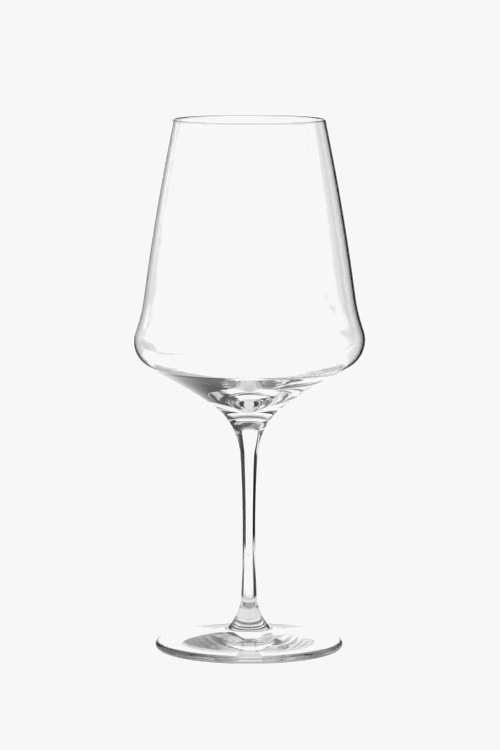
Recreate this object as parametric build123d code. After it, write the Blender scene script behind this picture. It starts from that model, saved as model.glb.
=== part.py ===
"""A stemmed wine glass, as three pieces of glass that are welded end to end: bowl, stem and foot.

Every piece is a solid of revolution about the Z axis. The glass stands on Z = 0, and a point of an
outline is (distance from the axis, height). Outlines are chains of arcs, each tangent to the next.
All lengths are in millimetres and all angles in degrees.
"""

import math
import os

from build123d import *

# Heights. The pieces stack, so the overall height is the weld's height above the table and these three.
STEM_LENGTH = 85.5  # weld to weld
CUP_DEPTH = 38.8  # weld between stem and bowl to the widest part of the bowl
SIDE_HEIGHT = 95.2  # widest part of the bowl to the lip

# Bowl, outside
RIM_DIAMETER = 66.4
BOWL_DIAMETER = 100.7
SIDE_RADIUS = 1020.0  # the side is a very shallow outward arc
WAIST_INSET = 4.0  # how far the side has drawn in where it meets the waist
WAIST_RISE = 17.2  # height of that place above the widest part
WAIST_RADIUS = 73.0  # the hollow between side and shoulder
SHOULDER_RADIUS = 13.65
CONE_RADIUS = 205.0  # the underside of the bowl, very slightly hollow
THROAT_RADIUS = 30.0  # where the bowl runs into the stem
THROAT_DROP = 13.6  # from the weld down to the centre of the throat's arc

# Bowl, inside
WALL = 1.1
WELL_DEPTH = 27.0  # widest part of the bowl down to the bottom of the inside
WELL_RADIUS = 7.0
WELL_CONE_RADIUS = 230.0

# Stem
STEM_DIAMETER = 5.5  # at its thinnest
STEM_WAIST_HEIGHT = 40.5  # above the weld with the foot
STEM_TAPER_RADIUS = 566.0
FLARE_RADIUS = 20.8
FLARE_RISE = 13.0  # from the weld up to the centre of the flare's arc

# Foot
FOOT_DIAMETER = 81.6
FOOT_EDGE = 3.4  # thickness of the full-round edge
FOOT_CROWN_RADIUS = 110.0  # the slightly hollow top
FOOT_EDGE_SLOPE = 1.9  # fall of the top where it meets the edge
FOOT_FILLET_RADIUS = 4.0  # between the stem's flare and the top of the foot
WELD_RISE = 1.39  # from the upper end of that fillet to the weld between foot and stem
HOLLOW_DEPTH = 1.8  # the underside is hollowed so that the glass stands on a ring
REST_RING_WIDTH = 2.6

PARTS = "parts"


class Circle:
    """One arc's full circle, from its centre's distance from the axis, its height and its radius."""

    def __init__(self, r, z, radius):
        self.r, self.z, self.radius = r, z, radius

    def toward(self, other):
        """The point where this circle touches other, which lies outside or around it."""
        sign = 1 if math.hypot(other.r - self.r, other.z - self.z) > other.radius else -1
        dr, dz = other.r - self.r, other.z - self.z
        scale = sign * self.radius / math.hypot(dr, dz)
        return self.r + dr * scale, self.z + dz * scale

    def at_height(self, z):
        """The point nearest the axis at height z."""
        return self.r - math.sqrt(self.radius**2 - (z - self.z) ** 2), z

    def resized(self, change):
        return Circle(self.r, self.z, self.radius + change)


def touching(radius, first, first_distance, second, second_distance):
    """The circle of that radius with its centre at the two distances from the centres of first and
    second, and on the left of the way from first to second."""
    dr, dz = second.r - first.r, second.z - first.z
    gap = math.hypot(dr, dz)
    along = (first_distance**2 - second_distance**2 + gap**2) / (2 * gap)
    across = math.sqrt(first_distance**2 - along**2)
    r = first.r + (along * dr - across * dz) / gap
    z = first.z + (along * dz + across * dr) / gap
    return Circle(r, z, radius)


def arc(circle, start, end):
    """The short way round circle from start to end, as an edge in the XZ plane."""
    mid_r = start[0] + end[0] - 2 * circle.r
    mid_z = start[1] + end[1] - 2 * circle.z
    scale = circle.radius / math.hypot(mid_r, mid_z)
    middle = (circle.r + mid_r * scale, circle.z + mid_z * scale)
    return ThreePointArc(*[(r, 0, z) for r, z in (start, middle, end)])


def straight(start, end):
    return Line((start[0], 0, start[1]), (end[0], 0, end[1]))


def turned(edges):
    """The solid that a closed outline of edges makes when it turns about the Z axis."""
    return revolve(make_face(Wire(edges)), Axis.Z, 360)


def foot_edge_circle():
    return Circle((FOOT_DIAMETER - FOOT_EDGE) / 2, FOOT_EDGE / 2, FOOT_EDGE / 2)


def foot_crown_circle():
    edge = foot_edge_circle()
    reach = FOOT_CROWN_RADIUS + edge.radius
    slope = math.radians(FOOT_EDGE_SLOPE)
    return Circle(edge.r + reach * math.sin(slope), edge.z + reach * math.cos(slope), FOOT_CROWN_RADIUS)


def stem_circle(weld):
    """The stem's long arc, if the weld between foot and stem is at that height."""
    return Circle(STEM_DIAMETER / 2 + STEM_TAPER_RADIUS, weld + STEM_WAIST_HEIGHT, STEM_TAPER_RADIUS)


def blended_into(stem, radius, height):
    """A smaller circle at that height that touches the stem's long arc from inside."""
    reach = math.sqrt((stem.radius - radius) ** 2 - (height - stem.z) ** 2)
    return Circle(stem.r - reach, height, radius)


def flare_circle(weld):
    return blended_into(stem_circle(weld), FLARE_RADIUS, weld + FLARE_RISE)


def throat_circle():
    return blended_into(stem_circle(foot_weld), THROAT_RADIUS, bowl_weld - THROAT_DROP)


def foot_weld_height():
    """How high the weld is, so that the fillet that begins below it comes down on the foot's top."""
    flare, crown = flare_circle(0), foot_crown_circle()
    start = flare.at_height(-WELD_RISE)
    share = 1 - FOOT_FILLET_RADIUS / flare.radius
    fillet_r = flare.r + (start[0] - flare.r) * share
    fillet_z = flare.z + (start[1] - flare.z) * share
    reach = crown.radius - FOOT_FILLET_RADIUS
    return crown.z - math.sqrt(reach**2 - (crown.r - fillet_r) ** 2) - fillet_z


# Places that the pieces share
foot_weld = foot_weld_height()
bowl_weld = foot_weld + STEM_LENGTH
widest = bowl_weld + CUP_DEPTH
lip = widest + SIDE_HEIGHT


def foot_fillet_circle():
    flare, crown = flare_circle(foot_weld), foot_crown_circle()
    return touching(
        FOOT_FILLET_RADIUS,
        flare,
        flare.radius - FOOT_FILLET_RADIUS,
        crown,
        crown.radius - FOOT_FILLET_RADIUS,
    )


def side_circle():
    """The arc of the bowl's side, through the lip and the place where the waist begins."""
    top = (RIM_DIAMETER / 2, lip - WALL / 2)
    low = (BOWL_DIAMETER / 2 - WAIST_INSET, widest + WAIST_RISE)
    dr, dz = low[0] - top[0], low[1] - top[1]
    chord = math.hypot(dr, dz)
    inward = math.sqrt(SIDE_RADIUS**2 - (chord / 2) ** 2) / chord
    return Circle((top[0] + low[0]) / 2 + dz * inward, (top[1] + low[1]) / 2 - dr * inward, SIDE_RADIUS)


def make_bowl():
    side = side_circle()
    shoulder = Circle(BOWL_DIAMETER / 2 - SHOULDER_RADIUS, widest, SHOULDER_RADIUS)
    waist = touching(
        WAIST_RADIUS,
        side,
        side.radius + WAIST_RADIUS,
        shoulder,
        shoulder.radius + WAIST_RADIUS,
    )
    throat = throat_circle()
    cone = touching(
        CONE_RADIUS,
        shoulder,
        shoulder.radius + CONE_RADIUS,
        throat,
        CONE_RADIUS - throat.radius,
    )
    weld = throat.at_height(bowl_weld)

    # The inside keeps the wall's thickness down to the shoulder, then thickens towards the stem.
    inner_side, inner_waist = side.resized(-WALL), waist.resized(WALL)
    inner_shoulder = shoulder.resized(-WALL)
    well = Circle(0, widest - WELL_DEPTH + WELL_RADIUS, WELL_RADIUS)
    inner_cone = touching(
        WELL_CONE_RADIUS,
        inner_shoulder,
        inner_shoulder.radius + WELL_CONE_RADIUS,
        well,
        well.radius + WELL_CONE_RADIUS,
    )

    # The lip is a half round across the wall.
    middle = side.radius - WALL / 2
    rise = lip - WALL / 2 - side.z
    lip_round = Circle(side.r + math.sqrt(middle**2 - rise**2), lip - WALL / 2, WALL / 2)
    lip_outer, lip_inner = side_ends(side, lip_round)
    lip_top = (lip_round.r, lip)

    well_bottom = (0, widest - WELL_DEPTH)
    edges = [
        straight((0, bowl_weld), weld),
        arc(throat, weld, throat.toward(cone)),
        arc(cone, throat.toward(cone), shoulder.toward(cone)),
        arc(shoulder, shoulder.toward(cone), shoulder.toward(waist)),
        arc(waist, shoulder.toward(waist), side.toward(waist)),
        arc(side, side.toward(waist), lip_outer),
        arc(lip_round, lip_outer, lip_top),
        arc(lip_round, lip_top, lip_inner),
        arc(inner_side, lip_inner, inner_side.toward(inner_waist)),
        arc(inner_waist, inner_side.toward(inner_waist), inner_shoulder.toward(inner_waist)),
        arc(inner_shoulder, inner_shoulder.toward(inner_waist), inner_shoulder.toward(inner_cone)),
        arc(inner_cone, inner_shoulder.toward(inner_cone), well.toward(inner_cone)),
        arc(well, well.toward(inner_cone), well_bottom),
        straight(well_bottom, (0, bowl_weld)),
    ]
    return turned(edges)


def side_ends(side, lip_round):
    """Where the lip's round meets the outside and the inside of the wall."""
    dr, dz = lip_round.r - side.r, lip_round.z - side.z
    reach = math.hypot(dr, dz)
    ends = []
    for radius in (side.radius, side.radius - WALL):
        ends.append((side.r + dr * radius / reach, side.z + dz * radius / reach))
    return ends


def make_stem():
    stem, throat, flare = stem_circle(foot_weld), throat_circle(), flare_circle(foot_weld)
    top, bottom = throat.at_height(bowl_weld), flare.at_height(foot_weld)
    edges = [
        straight((0, foot_weld), bottom),
        arc(flare, bottom, flare.toward(stem)),
        arc(stem, flare.toward(stem), throat.toward(stem)),
        arc(throat, throat.toward(stem), top),
        straight(top, (0, bowl_weld)),
        straight((0, bowl_weld), (0, foot_weld)),
    ]
    return turned(edges)


def make_foot():
    edge, crown = foot_edge_circle(), foot_crown_circle()
    flare, fillet = flare_circle(foot_weld), foot_fillet_circle()
    weld = flare.at_height(foot_weld)
    side, under = (FOOT_DIAMETER / 2, edge.z), (edge.r, 0)
    ring_inner = edge.r - REST_RING_WIDTH
    hollow_radius = (ring_inner**2 + HOLLOW_DEPTH**2) / (2 * HOLLOW_DEPTH)
    hollow = Circle(0, HOLLOW_DEPTH - hollow_radius, hollow_radius)
    edges = [
        straight((0, foot_weld), weld),
        arc(flare, weld, fillet.toward(flare)),
        arc(fillet, fillet.toward(flare), fillet.toward(crown)),
        arc(crown, fillet.toward(crown), edge.toward(crown)),
        arc(edge, edge.toward(crown), side),
        arc(edge, side, under),
        straight(under, (ring_inner, 0)),
        arc(hollow, (ring_inner, 0), (0, HOLLOW_DEPTH)),
        straight((0, HOLLOW_DEPTH), (0, foot_weld)),
    ]
    return turned(edges)


def main():
    os.makedirs(PARTS, exist_ok=True)
    pieces = {"bowl": make_bowl(), "stem": make_stem(), "foot": make_foot()}
    for name, piece in pieces.items():
        export_step(piece, f"{PARTS}/{name}.step")


main()
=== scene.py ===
"""A stemmed wine glass of clear crystal, and the studio it stands in.

The bowl, the stem and the foot are turned from outlines of arcs, each tangent to the next. A point of
an outline is (distance from the axis, height). Lengths are in metres and angles in radians.
"""

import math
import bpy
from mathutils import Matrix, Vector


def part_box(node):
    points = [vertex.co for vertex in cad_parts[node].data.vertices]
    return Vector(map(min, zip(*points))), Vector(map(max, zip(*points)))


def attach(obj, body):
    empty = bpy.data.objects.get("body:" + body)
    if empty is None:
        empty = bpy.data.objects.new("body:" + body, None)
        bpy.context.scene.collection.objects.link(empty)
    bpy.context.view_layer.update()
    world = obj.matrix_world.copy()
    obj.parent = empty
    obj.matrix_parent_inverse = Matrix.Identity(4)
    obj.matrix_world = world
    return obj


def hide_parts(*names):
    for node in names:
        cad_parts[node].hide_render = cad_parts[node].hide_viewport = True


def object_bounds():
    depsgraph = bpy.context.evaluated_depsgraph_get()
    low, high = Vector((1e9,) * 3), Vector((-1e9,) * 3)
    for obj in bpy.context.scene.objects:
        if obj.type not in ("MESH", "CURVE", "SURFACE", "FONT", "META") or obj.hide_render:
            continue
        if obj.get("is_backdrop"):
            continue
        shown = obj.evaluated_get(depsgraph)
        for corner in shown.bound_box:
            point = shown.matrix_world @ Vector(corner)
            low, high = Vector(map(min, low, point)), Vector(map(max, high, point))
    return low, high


bl_info = {
    "name": "Wine Glass",
    "version": (1, 0, 0),
    "blender": (4, 5, 0),
    "location": "3D View > Sidebar > Wine Glass",
    "description": "Turns a stemmed wine glass of clear crystal and lights it on a pale table",
    "category": "Add Mesh",
}

import bpy

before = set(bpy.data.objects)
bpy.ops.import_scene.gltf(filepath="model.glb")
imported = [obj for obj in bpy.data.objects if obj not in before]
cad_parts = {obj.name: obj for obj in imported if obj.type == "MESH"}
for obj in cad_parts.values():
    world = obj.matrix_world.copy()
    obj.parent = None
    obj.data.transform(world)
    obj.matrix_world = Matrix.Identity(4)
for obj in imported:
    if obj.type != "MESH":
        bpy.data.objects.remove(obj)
cad_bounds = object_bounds()

MM = 0.001

# The places and widths that the pieces share, from the frame.
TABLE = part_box("foot")[0].z
FOOT_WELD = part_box("stem")[0].z
BOWL_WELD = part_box("stem")[1].z
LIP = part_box("bowl")[1].z
BOWL_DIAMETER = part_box("bowl")[1].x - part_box("bowl")[0].x
FOOT_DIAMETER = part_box("foot")[1].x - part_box("foot")[0].x

# How finely an outline is divided, and how closely points that should be one point lie.
TURN_STEP = math.radians(2.5)
LONGEST_STEP = 3 * MM
TURN_SEGMENTS = 288
SAME_POINT = 0.001 * MM


def size(name, description, millimetres):
    return bpy.props.FloatProperty(
        name=name, description=description, default=millimetres * MM, min=0, unit="LENGTH", precision=5
    )


def linear(hex_colour):
    """An sRGB hex colour as linear red, green, blue and full alpha."""
    channels = [int(hex_colour[i : i + 2], 16) / 255 for i in (1, 3, 5)]
    return [c / 12.92 if c <= 0.04045 else ((c + 0.055) / 1.055) ** 2.4 for c in channels] + [1]


def colour(name, description, hex_colour):
    return bpy.props.FloatVectorProperty(
        name=name, description=description, default=linear(hex_colour), size=4, min=0, max=1, subtype="COLOR"
    )


class StemSizes(bpy.types.PropertyGroup):
    diameter: size("Diameter", "Width of the stem at its thinnest", 5.5)
    waist_height: size("Waist Height", "From the weld with the foot up to the thinnest place", 40.5)
    taper_radius: size("Taper Radius", "The long arc of the stem's side", 566)
    flare_radius: size("Flare Radius", "The arc where the stem spreads into the foot", 20.8)
    flare_rise: size("Flare Rise", "From the weld up to the centre of the flare's arc", 13)
    throat_radius: size("Throat Radius", "The arc where the stem runs into the bowl", 30)
    throat_drop: size("Throat Drop", "From the upper weld down to the centre of the throat's arc", 13.6)


class BowlSizes(bpy.types.PropertyGroup):
    rim_diameter: size("Rim Diameter", "Width across the outside of the lip", 66.4)
    side_height: size("Side Height", "From the widest place up to the lip", 95.2)
    side_radius: size("Side Radius", "The very shallow arc of the side", 1020)
    waist_inset: size("Waist Inset", "How far the side has drawn in where it meets the waist", 4)
    waist_rise: size("Waist Rise", "From the widest place up to where side and waist meet", 17.2)
    waist_radius: size("Waist Radius", "The hollow between side and shoulder", 73)
    shoulder_radius: size("Shoulder Radius", "The round at the widest place", 13.65)
    cone_radius: size("Cone Radius", "The slightly hollow underside", 205)
    wall: size("Wall", "Thickness of the glass, from the lip down to the shoulder", 1.1)
    well_depth: size("Well Depth", "From the widest place down to the bottom of the inside", 27)
    well_radius: size("Well Radius", "The round at the bottom of the inside", 7)
    well_cone_radius: size("Well Cone Radius", "The slightly hollow floor of the inside", 230)


class FootSizes(bpy.types.PropertyGroup):
    edge: size("Edge", "Thickness of the full-round edge", 3.4)
    crown_radius: size("Crown Radius", "The slightly hollow top", 110)
    edge_slope: bpy.props.FloatProperty(
        name="Edge Slope",
        description="Fall of the top where it meets the edge",
        default=math.radians(1.9),
        subtype="ANGLE",
    )
    fillet_radius: size("Fillet Radius", "Between the stem's flare and the top", 4)
    hollow_depth: size("Hollow Depth", "Height of the hollow in the underside", 1.8)
    ring_width: size("Ring Width", "Width of the flat ring that the foot rests on", 2.6)


class GlassLook(bpy.types.PropertyGroup):
    tint: colour("Tint", "What a face of the glass lets through", "#fefefe")
    # Painted shade: a darker tint on the lip's faces, so that the lip shows as a grey line.
    lip_painted_shade: colour("Lip Painted Shade", "What a face of the lip lets through", "#e2e2e2")
    # Painted shade: a darker tint on the faces of the foot's edge, so that the edge shows as a grey band.
    edge_painted_shade: colour("Edge Tint", "What a face of the foot's edge lets through", "#d8d8d8")
    ior: bpy.props.FloatProperty(name="IOR", description="Refraction of the glass", default=1.52, min=1)
    wave_length: size("Wave Length", "How far apart the waves of the drawn surface lie", 14)
    wave_height: size("Wave Height", "How high the waves stand", 0.002)


class StudioLook(bpy.types.PropertyGroup):
    backdrop: colour("Backdrop", "The pale table and backdrop", "#f7f7f7")


# Outlines


class Circle:
    """One arc's full circle, from its centre's distance from the axis, its height and its radius."""

    def __init__(self, r, z, radius):
        self.r, self.z, self.radius = r, z, radius

    def toward(self, other):
        """The point where this circle touches other, which lies outside or around it."""
        dr, dz = other.r - self.r, other.z - self.z
        sign = 1 if math.hypot(dr, dz) > other.radius else -1
        scale = sign * self.radius / math.hypot(dr, dz)
        return self.r + dr * scale, self.z + dz * scale

    def at_height(self, z):
        """The point nearest the axis at height z."""
        return self.r - math.sqrt(self.radius**2 - (z - self.z) ** 2), z

    def resized(self, change):
        return Circle(self.r, self.z, self.radius + change)


def touching(radius, first, first_distance, second, second_distance):
    """The circle of that radius with its centre at the two distances from the centres of first and
    second, and on the left of the way from first to second."""
    dr, dz = second.r - first.r, second.z - first.z
    gap = math.hypot(dr, dz)
    along = (first_distance**2 - second_distance**2 + gap**2) / (2 * gap)
    across = math.sqrt(first_distance**2 - along**2)
    r = first.r + (along * dr - across * dz) / gap
    z = first.z + (along * dz + across * dr) / gap
    return Circle(r, z, radius)


def arc(circle, start, end):
    """Points the short way round circle, from start to end."""
    first = math.atan2(start[1] - circle.z, start[0] - circle.r)
    last = math.atan2(end[1] - circle.z, end[0] - circle.r)
    turn = (last - first + math.pi) % math.tau - math.pi
    steps = math.ceil(max(abs(turn) / TURN_STEP, abs(turn) * circle.radius / LONGEST_STEP, 2))
    angles = [first + turn * i / steps for i in range(steps + 1)]
    return [(circle.r + circle.radius * math.cos(a), circle.z + circle.radius * math.sin(a)) for a in angles]


def outline(*stretches):
    """One line of points through all the stretches, each place once."""
    points = [stretches[0][0]]
    for stretch in stretches:
        points += [p for p in stretch if math.dist(p, points[-1]) > SAME_POINT]
    return points


def stem_circle(stem):
    return Circle(stem.diameter / 2 + stem.taper_radius, FOOT_WELD + stem.waist_height, stem.taper_radius)


def blended_into_stem(stem, radius, height):
    """A smaller circle at that height that touches the stem's long arc from inside."""
    taper = stem_circle(stem)
    reach = math.sqrt((taper.radius - radius) ** 2 - (height - taper.z) ** 2)
    return Circle(taper.r - reach, height, radius)


def throat_circle(stem):
    return blended_into_stem(stem, stem.throat_radius, BOWL_WELD - stem.throat_drop)


def flare_circle(stem):
    return blended_into_stem(stem, stem.flare_radius, FOOT_WELD + stem.flare_rise)


def side_circle(bowl):
    """The arc of the bowl's side, through the lip and the place where the waist begins."""
    widest = LIP - bowl.side_height
    top = (bowl.rim_diameter / 2, LIP - bowl.wall / 2)
    low = (BOWL_DIAMETER / 2 - bowl.waist_inset, widest + bowl.waist_rise)
    dr, dz = low[0] - top[0], low[1] - top[1]
    chord = math.hypot(dr, dz)
    inward = math.sqrt(bowl.side_radius**2 - (chord / 2) ** 2) / chord
    r, z = (top[0] + low[0]) / 2, (top[1] + low[1]) / 2
    return Circle(r + dz * inward, z - dr * inward, bowl.side_radius)


def bowl_circles(bowl):
    """The side, the waist and the shoulder of the outside."""
    side = side_circle(bowl)
    shoulder = Circle(BOWL_DIAMETER / 2 - bowl.shoulder_radius, LIP - bowl.side_height, bowl.shoulder_radius)
    from_side, from_shoulder = side.radius + bowl.waist_radius, shoulder.radius + bowl.waist_radius
    return side, touching(bowl.waist_radius, side, from_side, shoulder, from_shoulder), shoulder


def lip_outline(bowl, side):
    """The half round of the lip, from the outside of the wall to the inside."""
    middle, rise = side.radius - bowl.wall / 2, LIP - bowl.wall / 2 - side.z
    lip = Circle(side.r + math.sqrt(middle**2 - rise**2), LIP - bowl.wall / 2, bowl.wall / 2)
    dr, dz = (lip.r - side.r) / middle, (lip.z - side.z) / middle
    outer = (side.r + dr * side.radius, side.z + dz * side.radius)
    inner = (side.r + dr * (side.radius - bowl.wall), side.z + dz * (side.radius - bowl.wall))
    return arc(lip, outer, (lip.r, LIP)) + arc(lip, (lip.r, LIP), inner)


def bowl_outline(bowl, stem):
    side, waist, shoulder = bowl_circles(bowl)
    throat, cone = throat_circle(stem), bowl.cone_radius
    cone = touching(cone, shoulder, shoulder.radius + cone, throat, cone - throat.radius)
    inner_side, inner_waist = side.resized(-bowl.wall), waist.resized(bowl.wall)
    inner_shoulder = shoulder.resized(-bowl.wall)
    well_bottom = (0, shoulder.z - bowl.well_depth)
    well = Circle(0, well_bottom[1] + bowl.well_radius, bowl.well_radius)
    floor = bowl.well_cone_radius
    floor = touching(floor, inner_shoulder, inner_shoulder.radius + floor, well, well.radius + floor)
    lip = lip_outline(bowl, side)
    weld = throat.at_height(BOWL_WELD)
    return outline(
        [(0, BOWL_WELD), weld],
        arc(throat, weld, throat.toward(cone)),
        arc(cone, throat.toward(cone), shoulder.toward(cone)),
        arc(shoulder, shoulder.toward(cone), shoulder.toward(waist)),
        arc(waist, shoulder.toward(waist), side.toward(waist)),
        arc(side, side.toward(waist), lip[0]),
        lip,
        arc(inner_side, lip[-1], inner_side.toward(inner_waist)),
        arc(inner_waist, inner_side.toward(inner_waist), inner_shoulder.toward(inner_waist)),
        arc(inner_shoulder, inner_shoulder.toward(inner_waist), inner_shoulder.toward(floor)),
        arc(floor, inner_shoulder.toward(floor), well.toward(floor)),
        arc(well, well.toward(floor), well_bottom),
    )


def stem_outline(stem):
    taper, throat, flare = stem_circle(stem), throat_circle(stem), flare_circle(stem)
    bottom, top = flare.at_height(FOOT_WELD), throat.at_height(BOWL_WELD)
    return outline(
        [(0, FOOT_WELD), bottom],
        arc(flare, bottom, flare.toward(taper)),
        arc(taper, flare.toward(taper), throat.toward(taper)),
        arc(throat, throat.toward(taper), top),
        [top, (0, BOWL_WELD)],
    )


def foot_outline(foot, stem):
    edge = Circle((FOOT_DIAMETER - foot.edge) / 2, TABLE + foot.edge / 2, foot.edge / 2)
    reach, slope = foot.crown_radius + edge.radius, foot.edge_slope
    crown = Circle(edge.r + reach * math.sin(slope), edge.z + reach * math.cos(slope), foot.crown_radius)
    flare, fillet = flare_circle(stem), foot.fillet_radius
    fillet = touching(fillet, flare, flare.radius - fillet, crown, crown.radius - fillet)
    weld, side, under = flare.at_height(FOOT_WELD), (FOOT_DIAMETER / 2, edge.z), (edge.r, TABLE)
    ring_inner = edge.r - foot.ring_width
    hollow_radius = (ring_inner**2 + foot.hollow_depth**2) / (2 * foot.hollow_depth)
    hollow_top = (0, TABLE + foot.hollow_depth)
    hollow = Circle(0, hollow_top[1] - hollow_radius, hollow_radius)
    return outline(
        arc(hollow, hollow_top, (ring_inner, TABLE)),
        [(ring_inner, TABLE), under],
        arc(edge, under, side),
        arc(edge, side, edge.toward(crown)),
        arc(crown, edge.toward(crown), fillet.toward(crown)),
        arc(fillet, fillet.toward(crown), fillet.toward(flare)),
        arc(flare, fillet.toward(flare), weld),
        [weld, (0, FOOT_WELD)],
    )


# Materials

# A Mix node's sockets for colours, by number, because its sockets for other kinds have the same names.
MIX_FIRST, MIX_SECOND, MIX_RESULT = 6, 7, 2


def add(tree, kind, inputs=None, **settings):
    """A node of that kind with its settings, and its inputs set or linked by name or number."""
    node = tree.nodes.new(kind)
    for name, value in settings.items():
        setattr(node, name, value)
    for key, value in (inputs or {}).items():
        if isinstance(value, bpy.types.NodeSocket):
            tree.links.new(value, node.inputs[key])
        else:
            node.inputs[key].default_value = value
    return node


def node_maths(tree):
    """A function that adds a maths node to the tree and gives its result."""

    def maths(operation, a, b=0.0):
        return add(tree, "ShaderNodeMath", {0: a, 1: b}, operation=operation).outputs[0]

    return maths


def slope(tree, value, start, end, low=0.0, high=1.0):
    """Low where value is at start, rising or falling smoothly to high at end."""
    inputs = {"Value": value, "From Min": start, "From Max": end, "To Min": low, "To Max": high}
    return add(tree, "ShaderNodeMapRange", inputs, interpolation_type="SMOOTHSTEP").outputs[0]


def vector_maths(tree, operation, *inputs):
    """The outputs of a vector maths node."""
    return add(tree, "ShaderNodeVectorMath", dict(enumerate(inputs)), operation=operation).outputs


def mixed(tree, share, first, second):
    """First where the share is 0 and second where it is 1, as colours."""
    inputs = {"Factor": share, MIX_FIRST: first, MIX_SECOND: second}
    return add(tree, "ShaderNodeMix", inputs, data_type="RGBA").outputs[MIX_RESULT]


def new_material(name):
    material = bpy.data.materials.new(name)
    material.use_nodes = True
    material.node_tree.nodes.clear()
    return material


# The lip and the foot's edge are tinted darker than real glass is: this is painted shade, so that their
# lines show.
# The lip's rises over LIP_REACH, from two of them below the top. The edge's rises over EDGE_REACH, from
# two of them inside the edge, and ends above EDGE_HEIGHT, so that it keeps to the foot.
LIP_REACH = 0.5 * MM
EDGE_REACH = 0.6 * MM
EDGE_HEIGHT = 5 * MM
# The waves are longer up and down than round, as the glass was drawn.
WAVE_STRETCH = (1, 1, 0.4)
WAVE_DETAIL = 1


def crystal_material(look):
    """Lead-free crystal, fire-polished: clear and hard-edged, so it shows mostly as what it bends, with
    painted shade on its lip and on the foot's edge.
    """
    name = "fire_polished_crystal"
    if name in bpy.data.materials:
        return bpy.data.materials[name]
    material = new_material(name)
    tree = material.node_tree
    place = add(tree, "ShaderNodeTexCoord").outputs["Object"]

    # The lip and the foot's edge are tightly rounded, and show as fine grey lines, which are painted shade:
    # their faces are tinted darker.
    height = add(tree, "ShaderNodeSeparateXYZ", {0: place}).outputs["Z"]
    at_lip = slope(tree, height, LIP - 2 * LIP_REACH, LIP - LIP_REACH)
    tint = mixed(tree, at_lip, look.tint, look.lip_painted_shade)
    out = vector_maths(tree, "LENGTH", vector_maths(tree, "MULTIPLY", place, (1, 1, 0))[0])["Value"]
    at_edge = slope(tree, out, FOOT_DIAMETER / 2 - 2 * EDGE_REACH, FOOT_DIAMETER / 2 - EDGE_REACH)
    on_foot = slope(tree, height, TABLE + 2 * EDGE_HEIGHT, TABLE + EDGE_HEIGHT)
    tint = mixed(tree, node_maths(tree)("MULTIPLY", at_edge, on_foot), tint, look.edge_painted_shade)

    # Drawn glass is never quite even: long low waves bend what shows through it a little.
    waves = add(
        tree,
        "ShaderNodeTexNoise",
        {
            "Vector": vector_maths(tree, "MULTIPLY", place, WAVE_STRETCH)[0],
            "Scale": 1 / look.wave_length,
            "Detail": WAVE_DETAIL,
        },
    ).outputs[0]
    bump = add(tree, "ShaderNodeBump", {"Height": waves, "Distance": look.wave_height, "Strength": 1})
    glass = add(
        tree,
        "ShaderNodeBsdfPrincipled",
        {
            "Base Color": tint,
            "Roughness": 0,
            "IOR": look.ior,
            "Transmission Weight": 1,
            "Normal": bump.outputs[0],
        },
    )
    add(tree, "ShaderNodeOutputMaterial", {"Surface": glass.outputs[0]})
    return material


def weld_material():
    """The fused welds: the glass runs on through them, so they can't be seen."""
    name = "fused_weld"
    if name in bpy.data.materials:
        return bpy.data.materials[name]
    material = new_material(name)
    clear = add(material.node_tree, "ShaderNodeBsdfTransparent", {"Color": (1, 1, 1, 1)})
    add(material.node_tree, "ShaderNodeOutputMaterial", {"Surface": clear.outputs[0]})
    return material


# Turning

# The skin is creased where it turns by more than this. A face is level if its normal's rise is more than
# the second.
CREASE = math.radians(40)
LEVEL = 0.999


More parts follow.
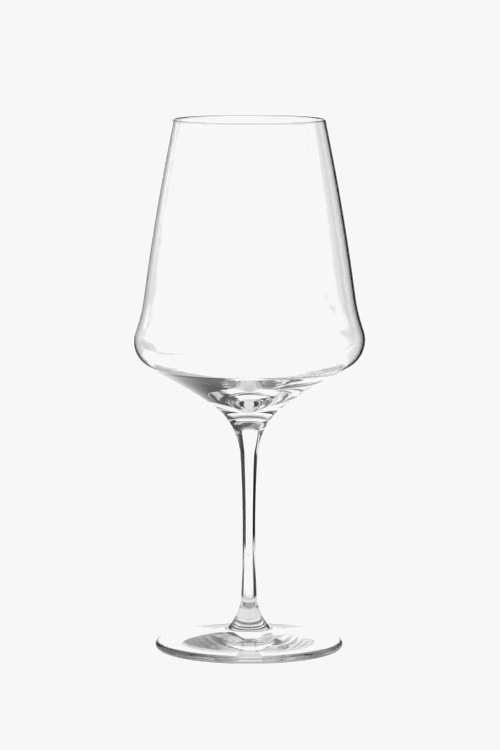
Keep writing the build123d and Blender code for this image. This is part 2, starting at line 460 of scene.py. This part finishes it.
def lathe_tree():
    """Turns an outline of points, in their order, about Z into a closed skin."""
    name = "Lathe"
    if name in bpy.data.node_groups:
        return bpy.data.node_groups[name]
    tree = bpy.data.node_groups.new(name, "GeometryNodeTree")
    for label, kind in (
        ("Outline", "NodeSocketGeometry"),
        ("Points", "NodeSocketInt"),
        ("Segments", "NodeSocketInt"),
        ("Merge Distance", "NodeSocketFloat"),
        ("Lower Weld", "NodeSocketFloat"),
        ("Upper Weld", "NodeSocketFloat"),
        ("Glass", "NodeSocketMaterial"),
        ("Weld", "NodeSocketMaterial"),
    ):
        tree.interface.new_socket(label, in_out="INPUT", socket_type=kind)
    tree.interface.new_socket("Skin", in_out="OUTPUT", socket_type="NodeSocketGeometry")
    given = add(tree, "NodeGroupInput").outputs
    maths = node_maths(tree)

    # A grid with one row for each point of the outline and one column for each step round. A point's row
    # is its number over the columns, rounded down, and the half keeps it clear of the next whole one.
    columns = maths("ADD", given["Segments"], 1.0)
    grid = add(tree, "GeometryNodeMeshGrid", {"Vertices X": given["Points"], "Vertices Y": columns})
    index = add(tree, "GeometryNodeInputIndex").outputs[0]
    row = maths("FLOOR", maths("DIVIDE", maths("ADD", index, 0.5), columns))
    column = maths("SUBTRACT", index, maths("MULTIPLY", row, columns))
    place = add(tree, "GeometryNodeInputPosition").outputs[0]
    sample = add(
        tree,
        "GeometryNodeSampleIndex",
        {"Geometry": given["Outline"], "Value": place, "Index": row},
        data_type="FLOAT_VECTOR",
        domain="POINT",
    )
    step = maths("DIVIDE", math.tau, given["Segments"])
    turned = add(
        tree,
        "ShaderNodeVectorRotate",
        {"Vector": sample.outputs[0], "Angle": maths("MULTIPLY", column, step)},
        rotation_type="Z_AXIS",
    )
    moved = add(
        tree,
        "GeometryNodeSetPosition",
        {"Geometry": grid.outputs[0], "Position": turned.outputs[0]},
    )
    merged = add(
        tree,
        "GeometryNodeMergeByDistance",
        {"Geometry": moved.outputs[0], "Distance": given["Merge Distance"]},
    )

    # The skin is smooth but for the edges of the welds.
    edge_angle = add(tree, "GeometryNodeInputMeshEdgeAngle").outputs["Unsigned Angle"]
    sharp = add(tree, "FunctionNodeCompare", {0: edge_angle, 1: CREASE}, operation="GREATER_THAN")
    smooth = add(tree, "GeometryNodeSetShadeSmooth", {"Geometry": merged.outputs[0], "Shade Smooth": True})
    creased = add(
        tree,
        "GeometryNodeSetShadeSmooth",
        {"Geometry": smooth.outputs[0], "Selection": sharp.outputs[0], "Shade Smooth": False},
        domain="EDGE",
    )

    # A face is part of a weld if it is level and lies at a weld's height.
    height = add(tree, "ShaderNodeSeparateXYZ", {0: place}).outputs["Z"]
    normal = add(tree, "GeometryNodeInputNormal").outputs[0]
    rise = add(tree, "ShaderNodeSeparateXYZ", {0: normal}).outputs["Z"]
    level = maths("GREATER_THAN", maths("ABSOLUTE", rise), LEVEL)
    near = []
    for weld in ("Lower Weld", "Upper Weld"):
        gap = maths("ABSOLUTE", maths("SUBTRACT", height, given[weld]))
        near.append(maths("LESS_THAN", gap, given["Merge Distance"]))
    is_weld = maths("MULTIPLY", level, maths("MAXIMUM", *near))

    outwards = add(tree, "GeometryNodeFlipFaces", {0: creased.outputs[0]})
    real = add(tree, "GeometryNodeRealizeInstances", {"Geometry": outwards.outputs[0]})
    glass = add(tree, "GeometryNodeSetMaterial", {"Geometry": real.outputs[0], "Material": given["Glass"]})
    weld = add(
        tree,
        "GeometryNodeSetMaterial",
        {"Geometry": glass.outputs[0], "Selection": is_weld, "Material": given["Weld"]},
    )
    add(tree, "NodeGroupOutput", {"Skin": weld.outputs[0]})
    return tree


def turn(name, points, lower_weld, upper_weld, look):
    """A glass piece turned from an outline, in place of the CAD node of the same name."""
    wire = bpy.data.meshes.new(name + "_outline")
    wire.from_pydata([(r, 0, z) for r, z in points], [(i, i + 1) for i in range(len(points) - 1)], [])
    lathe = bpy.data.objects.new(name + "_outline", wire)
    bpy.context.scene.collection.objects.link(lathe)
    modifier = lathe.modifiers.new("Lathe", "NODES")
    modifier.node_group = lathe_tree()
    settings = {
        "Points": len(points),
        "Segments": TURN_SEGMENTS,
        "Merge Distance": SAME_POINT,
        "Lower Weld": lower_weld,
        "Upper Weld": upper_weld,
        "Glass": crystal_material(look),
        "Weld": weld_material(),
    }
    for socket in modifier.node_group.interface.items_tree:
        if socket.in_out == "INPUT" and socket.name in settings:
            modifier[socket.identifier] = settings[socket.name]
    solid = lathe.evaluated_get(bpy.context.evaluated_depsgraph_get())
    mesh = bpy.data.meshes.new_from_object(solid)
    mesh.name = name + "_glass"
    mesh.materials.pop(index=0)  # the grid's own empty slot
    piece = bpy.data.objects.new(name + "_glass", mesh)
    bpy.context.scene.collection.objects.link(piece)
    bpy.data.objects.remove(lathe)
    bpy.data.meshes.remove(wire)
    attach(piece, "root")
    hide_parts(name)
    return piece


class GLASS_OT_make_bowl(bpy.types.Operator):
    """Turn the bowl, from its weld with the stem up to the lip and down the inside"""

    bl_idname = "wine_glass.make_bowl"
    bl_label = "Make Bowl"

    def execute(self, context):
        scene = context.scene
        points = bowl_outline(scene.wine_glass_bowl, scene.wine_glass_stem)
        turn("bowl", points, BOWL_WELD, BOWL_WELD, scene.wine_glass_look)
        return {"FINISHED"}


class GLASS_OT_make_stem(bpy.types.Operator):
    """Turn the stem, from its weld with the foot up to its weld with the bowl"""

    bl_idname = "wine_glass.make_stem"
    bl_label = "Make Stem"

    def execute(self, context):
        scene = context.scene
        turn("stem", stem_outline(scene.wine_glass_stem), FOOT_WELD, BOWL_WELD, scene.wine_glass_look)
        return {"FINISHED"}


class GLASS_OT_make_foot(bpy.types.Operator):
    """Turn the foot, from the hollow of its underside out to the edge and up to its weld"""

    bl_idname = "wine_glass.make_foot"
    bl_label = "Make Foot"

    def execute(self, context):
        scene = context.scene
        points = foot_outline(scene.wine_glass_foot, scene.wine_glass_stem)
        turn("foot", points, FOOT_WELD, FOOT_WELD, scene.wine_glass_look)
        return {"FINISHED"}


# Studio

CAMERA_DISTANCE = 1724.3 * MM
CAMERA_HEIGHT = 326.1 * MM
CAMERA_ASIDE = 0.43 * MM
CAMERA_TILT = math.radians(6.836)
CAMERA_LENS = 192.77
CAMERA_SENSOR = 36
CAMERA_RANGE = (0.1, 100)
TABLE_HALF = 12

# How often light is followed through the glass before it is given up.
BOUNCES = 24
GLOSSY_BOUNCES = 16

CORNERS = ((-1, -1), (1, -1), (1, 1), (-1, 1))


def set_camera():
    camera = bpy.data.objects.new("camera", bpy.data.cameras.new("camera"))
    bpy.context.scene.collection.objects.link(camera)
    camera.location = (CAMERA_ASIDE, -CAMERA_DISTANCE, CAMERA_HEIGHT)
    camera.rotation_euler = (math.pi / 2 - CAMERA_TILT, 0, 0)
    camera.data.lens = CAMERA_LENS
    camera.data.sensor_width = CAMERA_SENSOR
    camera.data.clip_start, camera.data.clip_end = CAMERA_RANGE
    bpy.context.scene.camera = camera


def plate(name, corners):
    """A flat sheet of the studio's furniture."""
    mesh = bpy.data.meshes.new(name)
    mesh.from_pydata(corners, [], [(0, 1, 2, 3)])
    sheet = bpy.data.objects.new(name, mesh)
    bpy.context.scene.collection.objects.link(sheet)
    sheet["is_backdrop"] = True
    return sheet


def set_table(studio):
    """The pale table. Only the camera sees it; the glass sees the glow under it instead."""
    table = plate("table", [(x * TABLE_HALF, y * TABLE_HALF, TABLE) for x, y in CORNERS])
    material = new_material("backlit_table")
    glow = add(material.node_tree, "ShaderNodeEmission", {"Color": studio.backdrop, "Strength": 1})
    add(material.node_tree, "ShaderNodeOutputMaterial", {"Surface": glow.outputs[0]})
    table.data.materials.append(material)
    table.visible_diffuse = table.visible_glossy = table.visible_transmission = table.visible_shadow = False


# Two sheets that only the glass sees: a lit panel close behind it, and a glow just under the table. The
# camera sees neither. Lengths are from the glass's axis and from the table, and a pair is where a value
# begins to rise and where it has risen.
SHEET_REACH = 320 * MM
TABLE_FRONT = -200 * MM
BELOW_TABLE = 0.3 * MM
# The panel is only a little wider than the glass, which bends the dark beside it into its outlines.
PANEL_BEHIND = 220 * MM
PANEL_LEVEL = 1.08
PANEL_LEFT = (-155 * MM, -112 * MM)
PANEL_RIGHT = (102 * MM, 76 * MM)
PANEL_TOP = (400 * MM, 225 * MM)
# Its left edge is drawn in low down, and its left flank is brighter.
PANEL_LEAN = (140 * MM, 60 * MM)
PANEL_DRAWN_IN = 35 * MM
FLANK = (-80 * MM, -105 * MM)
FLANK_LEVEL = 0.22
# Both sheets are dark beside the lit part, out to these flags, and clear beyond them.
FLAG_LEFT = (-230 * MM, -180 * MM)
FLAG_RIGHT = (160 * MM, 130 * MM)
# The sheets don't look the same from every side. Light that meets the panel more squarely than
# FROM_BEFORE sees the flags whole. Light that meets it more aslant than FROM_ASIDE sees only the right
# one, from these heights up, so that the flags don't darken the glass as it is seen from the side.
FROM_BEFORE, FROM_ASIDE = math.radians(40), math.radians(47)
FLAG_FOOT = (105 * MM, 130 * MM)
FLAG_CENTRE = (-20 * MM, 20 * MM)
# Behind the glass the table shines in a fan, whose edges are widths over distance behind the glass.
FAN_LEFT = (-0.62, -0.32)
FAN_RIGHT = (0.85, 0.5)
FAN_NEAR, FAN_FAR = 0 * MM, 130 * MM
FAN_CLOSEST = 1 * MM
# Elsewhere it is pale from above and dark when seen flat, and it is pale all round the foot.
SEEN_FLAT, SEEN_FROM_ABOVE = math.radians(20), math.radians(30)
TABLE_PALE = 0.5
FOOT_PALE = 0.8
FOOT_PALE_REACH = (90 * MM, 60 * MM)
# It is pale far off to the sides and in front of the glass too.
FAR_BESIDE = (105 * MM, 150 * MM)
FAR_BEFORE = (-30 * MM, -70 * MM)
FAR_PALE = 0.9
# A soft oval of shade lies on it behind the stem. Its edge is a share of its half width and half length.
SHADE_MIDDLE = 34 * MM
SHADE_HALF_WIDTH, SHADE_HALF_LENGTH = 20 * MM, 14 * MM
SHADE_EDGE = (1.4, 0.6)
SHADE_LEVEL = 0.22
# At this blend, Facing is one less the cosine of the angle to the sheet's normal.
COSINE_BLEND = 0.5


def set_panel(studio):
    """The lit panel and the glow that it throws along the table, as the glass sees them."""
    reach, top = SHEET_REACH, PANEL_TOP[0]
    panel = plate("panel", [(x * reach, PANEL_BEHIND, TABLE + (z + 1) / 2 * top) for x, z in CORNERS])
    middle, half = (TABLE_FRONT + PANEL_BEHIND) / 2, (PANEL_BEHIND - TABLE_FRONT) / 2
    low = TABLE - BELOW_TABLE
    glow = plate("table_glow", [(x * reach, middle + y * half, low) for x, y in CORNERS])
    for sheet in (panel, glow):
        material = new_material(sheet.name)
        tree = material.node_tree
        maths = node_maths(tree)
        place = add(tree, "ShaderNodeTexCoord").outputs["Object"]
        x, y, z = add(tree, "ShaderNodeSeparateXYZ", {0: place}).outputs
        flags = maths("MULTIPLY", slope(tree, x, *FLAG_LEFT), slope(tree, x, *FLAG_RIGHT))
        facing = add(tree, "ShaderNodeLayerWeight", {"Blend": COSINE_BLEND}).outputs["Facing"]
        if sheet is panel:
            leaned = maths("SUBTRACT", x, slope(tree, z, *PANEL_LEAN, 0, PANEL_DRAWN_IN))
            across = maths("MULTIPLY", slope(tree, leaned, *PANEL_LEFT), slope(tree, x, *PANEL_RIGHT))
            before = slope(tree, facing, 1 - math.cos(FROM_ASIDE), 1 - math.cos(FROM_BEFORE))
            high = maths("MULTIPLY", slope(tree, z, *FLAG_FOOT), slope(tree, x, *FLAG_CENTRE))
            kept = maths("MAXIMUM", before, high)
            flags = maths("MAXIMUM", across, maths("MULTIPLY", flags, kept))
            flank = slope(tree, leaned, *FLANK, PANEL_LEVEL, PANEL_LEVEL + FLANK_LEVEL)
            level = maths("MULTIPLY", maths("MULTIPLY", across, slope(tree, z, *PANEL_TOP)), flank)
        else:
            aside = maths("DIVIDE", x, maths("MAXIMUM", y, FAN_CLOSEST))
            fan = maths("MULTIPLY", slope(tree, aside, *FAN_LEFT), slope(tree, aside, *FAN_RIGHT))
            fan = maths("MULTIPLY", fan, slope(tree, y, FAN_NEAR, FAN_FAR, 0, PANEL_LEVEL))
            flat, above = 1 - math.sin(SEEN_FLAT), 1 - math.sin(SEEN_FROM_ABOVE)
            pale = slope(tree, facing, flat, above, 0, TABLE_PALE)
            out = vector_maths(tree, "LENGTH", place)["Value"]
            round_foot = slope(tree, out, *FOOT_PALE_REACH, 0, FOOT_PALE)
            beside = slope(tree, maths("ABSOLUTE", x), *FAR_BESIDE, 0, FAR_PALE)
            far = maths("MAXIMUM", beside, slope(tree, y, *FAR_BEFORE, 0, FAR_PALE))
            level = maths("MAXIMUM", maths("MAXIMUM", fan, far), maths("MAXIMUM", pale, round_foot))
            wide = maths("DIVIDE", x, SHADE_HALF_WIDTH)
            long = maths("DIVIDE", maths("SUBTRACT", y, SHADE_MIDDLE), SHADE_HALF_LENGTH)
            spread = add(tree, "ShaderNodeCombineXYZ", {0: wide, 1: long}).outputs[0]
            spread = vector_maths(tree, "LENGTH", spread)["Value"]
            level = maths("MULTIPLY", level, slope(tree, spread, *SHADE_EDGE, 1, SHADE_LEVEL))
        light = add(tree, "ShaderNodeEmission", {"Color": studio.backdrop, "Strength": level})
        clear = add(tree, "ShaderNodeBsdfTransparent")
        mix = add(tree, "ShaderNodeMixShader", {0: flags, 1: clear.outputs[0], 2: light.outputs[0]})
        add(tree, "ShaderNodeOutputMaterial", {"Surface": mix.outputs[0]})
        material.cycles.emission_sampling = "NONE"
        sheet.data.materials.append(material)
        sheet.visible_camera = sheet.visible_shadow = sheet.visible_diffuse = False


# What the glass sees round it, far off. A card is (azimuth of its middle, half its width, its lowest
# and its highest edge, how bright it is), in degrees: azimuth runs from straight behind the glass to
# the left. The first card is the soft light from the left and the last hangs high behind. The others
# stand only where the glass looks when it is seen from 45, 90 and 225 degrees round it. Seen from where
# no card lies beyond it, such as from straight behind, clear glass comes out dark.
CARDS = (
    (68, 28, 0, 52, 0.9),
    (60, 14, -21, -13, 0.9),
    (90, 16, -16, 6, 1.1),
    (45, 20, -45, -18, 1.1),
    (-135, 24, -40, -7, 1.1),
    (-135, 24, 8, 24, 0.6),
    (0, 60, 34, 62, 0.7),
)
CARD_SOFTNESS = 6
# The room is dim, and dimmest round the first of these azimuths: it has risen at the second and not yet
# at the third. It begins above the table, which is pale from below TABLE_EDGE.
LOW_LEVEL = 0.02
DARK_SIDE = (-40, 80, 60)
ROOM_LEVEL = 0.3
ROOM_FROM = (-6, 2)
TABLE_LIGHT = 0.7
TABLE_EDGE = (-22, -30)


def set_world(studio):
    """Pale cards round the glass, in a dim room. The camera sees a plain backdrop in their place."""
    world = bpy.data.worlds.new("studio")
    bpy.context.scene.world = world
    world.use_nodes = True
    tree = world.node_tree
    tree.nodes.clear()
    maths = node_maths(tree)
    way = add(tree, "ShaderNodeTexCoord").outputs["Generated"]
    parts = add(tree, "ShaderNodeSeparateXYZ", {0: way}).outputs
    azimuth = maths("ARCTAN2", maths("MULTIPLY", parts["X"], -1.0), parts["Y"])
    height = maths("ARCSINE", parts["Z"])
    middle, outer, inner = map(math.radians, DARK_SIDE)
    beside = slope(tree, maths("ABSOLUTE", maths("SUBTRACT", azimuth, middle)), inner, outer, 0, ROOM_LEVEL)
    room = maths("MULTIPLY", slope(tree, height, *map(math.radians, ROOM_FROM)), beside)
    room = maths("MAXIMUM", room, LOW_LEVEL)
    table = slope(tree, height, *map(math.radians, TABLE_EDGE), 0, TABLE_LIGHT)
    level = maths("MAXIMUM", room, table)
    for middle, half_width, low, high, bright in CARDS:
        aside = add(
            tree,
            "ShaderNodeMath",
            {0: maths("SUBTRACT", azimuth, math.radians(middle)), 1: math.pi, 2: -math.pi},
            operation="WRAP",
        ).outputs[0]
        outer, inner = math.radians(half_width + CARD_SOFTNESS), math.radians(half_width - CARD_SOFTNESS)
        across = slope(tree, maths("ABSOLUTE", aside), outer, inner)
        from_middle = maths("ABSOLUTE", maths("SUBTRACT", height, math.radians((low + high) / 2)))
        half_height, soft = math.radians((high - low) / 2), math.radians(CARD_SOFTNESS / 2)
        upright = slope(tree, from_middle, half_height + soft, half_height - soft)
        level = maths("MAXIMUM", level, maths("MULTIPLY", maths("MULTIPLY", across, upright), bright))

    lit = add(tree, "ShaderNodeBackground", {"Color": studio.backdrop, "Strength": level})
    plain = add(tree, "ShaderNodeBackground", {"Color": studio.backdrop, "Strength": 1})
    seen = add(tree, "ShaderNodeLightPath").outputs["Is Camera Ray"]
    mix = add(tree, "ShaderNodeMixShader", {0: seen, 1: lit.outputs[0], 2: plain.outputs[0]})
    add(tree, "ShaderNodeOutputWorld", {"Surface": mix.outputs[0]})


# How a level of light is printed: clear glass and the backdrop come out the same pale grey.
PRINT_CURVE = ((0, 0), (0.7, 0.74), (0.77, 0.79), (0.8, 0.93), (1.2, 0.93), (1.6, 1), (2, 1))
# The curve for all colours together comes after those for red, green and blue.
COMBINED = 3


def set_print(view):
    view.view_transform = "Standard"
    view.use_curve_mapping = True
    mapping = view.curve_mapping
    mapping.clip_max_x = PRINT_CURVE[-1][0]
    points = mapping.curves[COMBINED].points
    points[0].location, points[1].location = PRINT_CURVE[0], PRINT_CURVE[-1]
    for place in PRINT_CURVE[1:-1]:
        points.new(*place)
    for point in points:
        point.handle_type = "VECTOR"
    mapping.update()


class GLASS_OT_set_studio(bpy.types.Operator):
    """Set the camera, the pale table and the soft light"""

    bl_idname = "wine_glass.set_studio"
    bl_label = "Set Studio"

    def execute(self, context):
        scene = context.scene
        set_camera()
        set_table(scene.wine_glass_studio)
        set_panel(scene.wine_glass_studio)
        set_world(scene.wine_glass_studio)
        set_print(scene.view_settings)
        scene.cycles.max_bounces = scene.cycles.transmission_bounces = BOUNCES
        scene.cycles.glossy_bounces = GLOSSY_BOUNCES
        return {"FINISHED"}


class GLASS_PT_wine_glass(bpy.types.Panel):
    bl_label = "Wine Glass"
    bl_idname = "GLASS_PT_wine_glass"
    bl_space_type = "VIEW_3D"
    bl_region_type = "UI"
    bl_category = "Wine Glass"

    def draw(self, context):
        for label, attribute in GROUPS:
            box = self.layout.box()
            box.label(text=label)
            group = getattr(context.scene, attribute)
            for name in group.bl_rna.properties.keys():
                if name not in ("name", "rna_type"):
                    box.prop(group, name)
        for operator in OPERATORS:
            self.layout.operator(operator.bl_idname)


GROUPS = (
    ("Bowl", "wine_glass_bowl"),
    ("Stem", "wine_glass_stem"),
    ("Foot", "wine_glass_foot"),
    ("Glass", "wine_glass_look"),
    ("Studio", "wine_glass_studio"),
)
GROUP_CLASSES = (BowlSizes, StemSizes, FootSizes, GlassLook, StudioLook)
OPERATORS = (GLASS_OT_make_bowl, GLASS_OT_make_stem, GLASS_OT_make_foot, GLASS_OT_set_studio)


def register():
    for cls in GROUP_CLASSES + OPERATORS + (GLASS_PT_wine_glass,):
        bpy.utils.register_class(cls)
    for (label, attribute), cls in zip(GROUPS, GROUP_CLASSES):
        setattr(bpy.types.Scene, attribute, bpy.props.PointerProperty(type=cls, name=label))


def unregister():
    for label, attribute in GROUPS:
        delattr(bpy.types.Scene, attribute)
    for cls in reversed(GROUP_CLASSES + OPERATORS + (GLASS_PT_wine_glass,)):
        bpy.utils.unregister_class(cls)


def write_sizes():
    boxes = {"cad": cad_bounds, "visual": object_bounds()}
    {name: [list(corner) for corner in box] for name, box in boxes.items()}


def main():
    register()
    bpy.ops.wine_glass.make_bowl()
    bpy.ops.wine_glass.make_stem()
    bpy.ops.wine_glass.make_foot()
    bpy.ops.wine_glass.set_studio()
    write_sizes()


if __name__ == "__main__":
    main()
